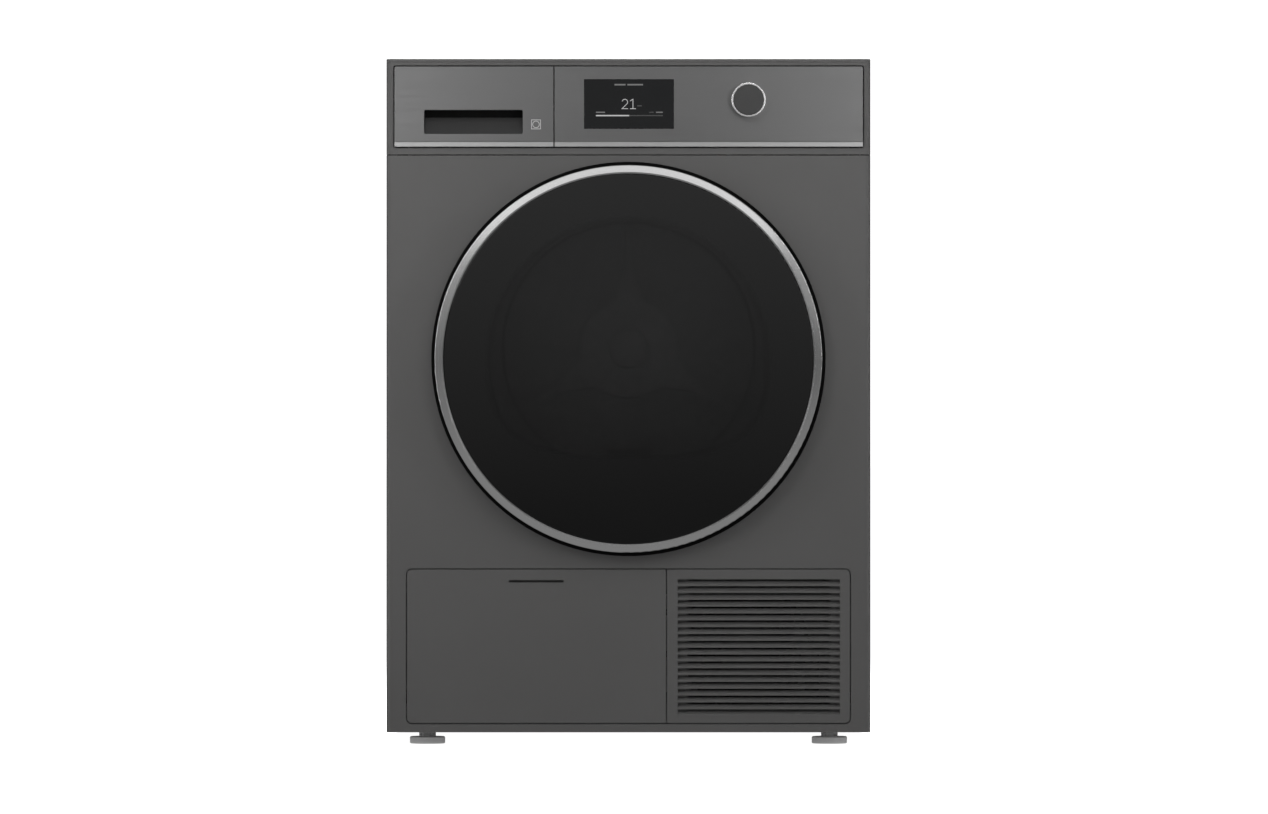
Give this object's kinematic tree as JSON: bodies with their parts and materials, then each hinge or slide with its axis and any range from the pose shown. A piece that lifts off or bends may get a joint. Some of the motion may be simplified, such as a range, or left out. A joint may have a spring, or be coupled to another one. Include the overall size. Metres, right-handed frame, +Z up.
{
  "type": "heat-pump tumble dryer",
  "caption": "Free-standing front-loading laundry dryer with a round glass door, water tank drawer, turn knob, display and a plinth with service flap and air grille.",
  "frame": {"origin": "middle of the footprint, on the floor under the feet", "axes": "+Z up, +X to the right of a person facing the door, the door faces -Y"},
  "size_m": [0.6, 0.655, 0.85],
  "materials": {
    "case_paint": "satin graphite powder coat",
    "case_plastic": "graphite moulded plastic, case colour",
    "fascia_metal": "dark brushed satin metal",
    "bright_trim": "satin anodised",
    "door_chrome": "satin chrome",
    "black_glass": "tinted black, polished",
    "display": "polished black display window",
    "clear_plastic": "clear moulded bowl",
    "black_plastic": "black, fine texture",
    "rubber": "soft black",
    "felt": "pressed wool felt",
    "stainless": "brushed stainless",
    "zinc_steel": "zinc-coated sheet",
    "steel": "turned steel",
    "grey_plastic": "mid grey moulding",
    "white_plastic": "natural white moulding",
    "motor_paint": "grey enamel",
    "compressor_paint": "black enamel",
    "coil_metal": "plain fin stock",
    "board_green": "solder mask",
    "knob_cap_finish": "dark grey satin",
    "knob_chrome": "polished chrome",
    "filter_mesh": "fine mesh in a dark frame"
  },
  "bodies": {
    "cabinet": {"base_tray": "grey_plastic", "left_side_panel": "case_paint", "right_side_panel": "case_paint", "front_panel": "case_paint", "fascia_frame": "case_plastic", "top_panel": "case_paint", "back_panel": "zinc_steel", "rear_duct_cover": "grey_plastic", "case_screws": "steel", "mains_gland": "black_plastic", "drain_spigot": "grey_plastic", "door_surround": "black_plastic", "front_bulkhead": "grey_plastic", "drum_felt_seal": "felt", "drum_bearing": "steel", "drive_belt": "rubber", "drive_motor": "motor_paint", "compressor": "compressor_paint", "evaporator": "coil_metal", "condenser": "coil_metal", "condensate_pump": "white_plastic", "air_grille": "case_plastic", "heat_exchanger_cover": "white_plastic", "control_fascia": "fascia_metal", "fascia_trim_strip": "bright_trim", "display_glass": "display", "control_board": "board_green", "hinge_bracket": "steel", "door_catch": "white_plastic"},
    "drum": {"drum_shell": "stainless", "drum_rear_wall": "stainless", "drum_hub": "stainless", "drum_lifters": "grey_plastic"},
    "rotor": {"motor_shaft": "steel", "process_fan": "white_plastic"},
    "roller_left": {"support_roller_left": "rubber"},
    "roller_right": {"support_roller_right": "rubber"},
    "belt_tensioner": {"idler_arm": "steel"},
    "idler": {"idler_pulley": "black_plastic"},
    "tank_drawer": {"tank_front": "fascia_metal", "tank_handle_cup": "black_plastic", "tank_trim_strip": "bright_trim", "water_tank": "white_plastic"},
    "door": {"door_frame": "black_plastic", "door_trim_ring": "door_chrome", "door_glass": "black_glass", "door_liner": "black_plastic", "door_bowl": "clear_plastic", "door_seal": "rubber", "door_hinge_leaf": "steel", "latch_hook": "steel"},
    "knob": {"knob_ring": "knob_chrome"},
    "knob_button": {"knob_cap": "knob_cap_finish"},
    "flap": {"plinth_flap": "case_plastic"},
    "filter": {"lint_filter": "filter_mesh"},
    "lever": {"cover_lever": "grey_plastic"},
    "foot_front_left": {"foot_front_left": "black_plastic"},
    "foot_front_right": {"foot_front_right": "black_plastic"},
    "foot_rear_left": {"foot_rear_left": "black_plastic"},
    "foot_rear_right": {"foot_rear_right": "black_plastic"}
  },
  "joints": [
    {"name": "door_hinge", "type": "hinge", "parent": "cabinet", "child": "door", "pos_m": [0.231, -0.3175, 0.478], "axis": [0, 0, 1], "range_deg": [0, 150]},
    {"name": "drum_turn", "type": "hinge", "parent": "cabinet", "child": "drum", "pos_m": [0, 0.02, 0.494], "axis": [0, 1, 0], "continuous": true},
    {"name": "motor_turn", "type": "hinge", "parent": "cabinet", "child": "rotor", "pos_m": [0.15, 0.2, 0.11], "axis": [0, 1, 0], "continuous": true},
    {"name": "roller_left_turn", "type": "hinge", "parent": "cabinet", "child": "roller_left", "pos_m": [-0.1433, -0.18, 0.2244], "axis": [0, 1, 0], "continuous": true},
    {"name": "roller_right_turn", "type": "hinge", "parent": "cabinet", "child": "roller_right", "pos_m": [0.1433, -0.18, 0.2244], "axis": [0, 1, 0], "continuous": true},
    {"name": "tensioner_swing", "type": "hinge", "parent": "cabinet", "child": "belt_tensioner", "pos_m": [0.235, 0.1645, 0.095], "axis": [0, 1, 0], "range_deg": [0, 12], "stiffness_Nm_per_rad": 4, "springref_deg": -20.05},
    {"name": "idler_turn", "type": "hinge", "parent": "belt_tensioner", "child": "idler", "pos_m": [0.1944, 0.155, 0.1588], "axis": [0, 1, 0], "continuous": true},
    {"name": "tank_slide", "type": "slide", "parent": "cabinet", "child": "tank_drawer", "axis": [0, -1, 0], "range_m": [0, 0.36]},
    {"name": "knob_turn", "type": "hinge", "parent": "cabinet", "child": "knob", "pos_m": [0.1487, -0.305, 0.7986], "axis": [0, 1, 0], "continuous": true},
    {"name": "knob_press", "type": "slide", "parent": "knob", "child": "knob_button", "axis": [0, 1, 0], "range_m": [0, 0.0015], "stiffness_N_per_m": 1200, "springref_m": -0.0005},
    {"name": "flap_hinge", "type": "hinge", "parent": "cabinet", "child": "flap", "pos_m": [-0.114, -0.295, 0.034], "axis": [1, 0, 0], "range_deg": [0, 90]},
    {"name": "filter_slide", "type": "slide", "parent": "cabinet", "child": "filter", "axis": [0, 0, 1], "range_m": [0, 0.12]},
    {"name": "lever_turn", "type": "hinge", "parent": "cabinet", "child": "lever", "pos_m": [-0.215, -0.286, 0.12], "axis": [0, 1, 0], "range_deg": [0, 90]},
    {"name": "foot_front_left_screw", "type": "slide", "parent": "cabinet", "child": "foot_front_left", "axis": [0, 0, 1], "range_m": [-0.012, 0]},
    {"name": "foot_front_right_screw", "type": "slide", "parent": "cabinet", "child": "foot_front_right", "axis": [0, 0, 1], "range_m": [-0.012, 0]},
    {"name": "foot_rear_left_screw", "type": "slide", "parent": "cabinet", "child": "foot_rear_left", "axis": [0, 0, 1], "range_m": [-0.012, 0]},
    {"name": "foot_rear_right_screw", "type": "slide", "parent": "cabinet", "child": "foot_rear_right", "axis": [0, 0, 1], "range_m": [-0.012, 0]}
  ],
  "couplings": [
    {"joint": "motor_turn", "follows": "drum_turn", "ratio": 27},
    {"joint": "roller_left_turn", "follows": "drum_turn", "ratio": -7.714},
    {"joint": "roller_right_turn", "follows": "drum_turn", "ratio": -7.714},
    {"joint": "idler_turn", "follows": "drum_turn", "ratio": -18}
  ]
}
